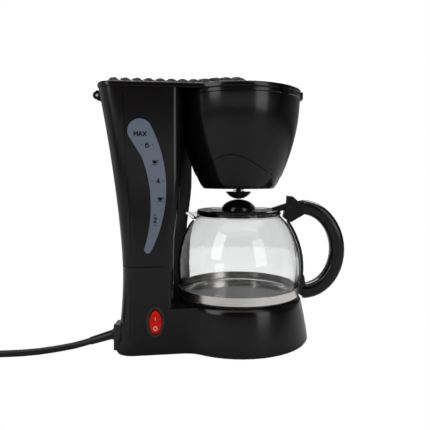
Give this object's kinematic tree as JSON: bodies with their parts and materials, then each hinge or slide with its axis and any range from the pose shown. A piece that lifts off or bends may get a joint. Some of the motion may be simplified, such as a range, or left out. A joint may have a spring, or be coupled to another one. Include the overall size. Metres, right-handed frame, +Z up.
{
  "type": "drip coffee maker",
  "caption": "Drip coffee maker with a ribbed hinged lid, round brew bucket, side water gauge, rocker switch and a lidded glass jug on a hot plate.",
  "frame": {"origin": "on the table, under the middle of the machine's outline without its cord", "axes": "+X to the jug handle at the front, +Y to the side without the gauge, +Z up"},
  "size_m": [0.448, 0.1539, 0.2711],
  "materials": {
    "housing_black": "near-black gloss with a faint brown sheen",
    "inner_plastic": "matt black moulding",
    "feet_rubber": "soft matt rubber",
    "screw_steel": "zinc-plated steel",
    "gauge_grey": "translucent blue-grey window",
    "mesh_gold": "golden steel mesh",
    "seal_silicone": "red-brown silicone",
    "tube_white": "off-white moulding",
    "hose_silicone": "milky silicone hose",
    "element_aluminium": "cast aluminium",
    "plate_coating": "dark non-stick coating",
    "bezel_grey": "dark grey satin",
    "rocker_red": "translucent red",
    "contact_brass": "plated brass",
    "clear_glass": "clear heat-proof glass",
    "band_steel": "brushed stainless steel",
    "cord_rubber": "black cord sheath",
    "pin_chrome": "plated pins"
  },
  "bodies": {
    "machine": {"base_housing": "housing_black", "bottom_cover": "inner_plastic", "rubber_feet": "feet_rubber", "base_screws": "screw_steel", "tank_shell": "housing_black", "front_cover": "housing_black", "gauge_window": "gauge_grey", "brew_bucket": "housing_black", "filter_funnel": "inner_plastic", "mesh_filter": "mesh_gold", "riser_tube": "tube_white", "spout_arm": "inner_plastic", "cold_hose": "hose_silicone", "hot_hose": "hose_silicone", "check_valve": "tube_white", "hose_clamps": "screw_steel", "heating_element": "element_aluminium", "hot_plate": "plate_coating", "plate_seal": "feet_rubber", "heater_bracket": "screw_steel", "bracket_nut": "screw_steel", "thermostat": "tube_white", "thermal_fuses": "screw_steel", "switch_bezel": "bezel_grey", "switch_body": "inner_plastic", "switch_tabs": "contact_brass", "lid_hinge_pins": "screw_steel", "cord_block": "inner_plastic", "cord_clamp": "tube_white", "strain_relief": "cord_rubber", "cord_tube": "cord_rubber", "cord_coil": "cord_rubber", "cord_tie": "tube_white", "plug_body": "cord_rubber", "plug_pins": "pin_chrome"},
    "lid": {"main_lid": "housing_black"},
    "jug": {"jug_glass": "clear_glass", "jug_band": "band_steel", "jug_handle": "housing_black", "jug_lid": "housing_black", "jug_lid_pin": "screw_steel", "band_screw": "screw_steel"},
    "drip_stop": {"drip_valve": "housing_black", "valve_seal": "seal_silicone", "valve_spring": "screw_steel"},
    "rocker": {"switch_rocker": "rocker_red"}
  },
  "joints": [
    {"name": "lid_hinge", "type": "hinge", "parent": "machine", "child": "lid", "pos_m": [-0.1233, 0, 0.2491], "axis": [0, -1, 0], "range_deg": [0, 95]},
    {"name": "jug_slide", "type": "slide", "parent": "machine", "child": "jug", "axis": [1, 0, 0], "range_m": [0, 0.16]},
    {"name": "drip_stop_slide", "type": "slide", "parent": "machine", "child": "drip_stop", "axis": [0, 0, -1], "range_m": [0, 0.004], "deforming": ["valve_spring"]},
    {"name": "rocker_pivot", "type": "hinge", "parent": "machine", "child": "rocker", "pos_m": [-0.06027, -0.06042, 0.0329], "axis": [-0.9816, -0.1908, 0], "range_deg": [0, 16]}
  ],
  "couplings": [
    {"joint": "drip_stop_slide", "follows": "jug_slide", "ratio": 0.025}
  ]
}
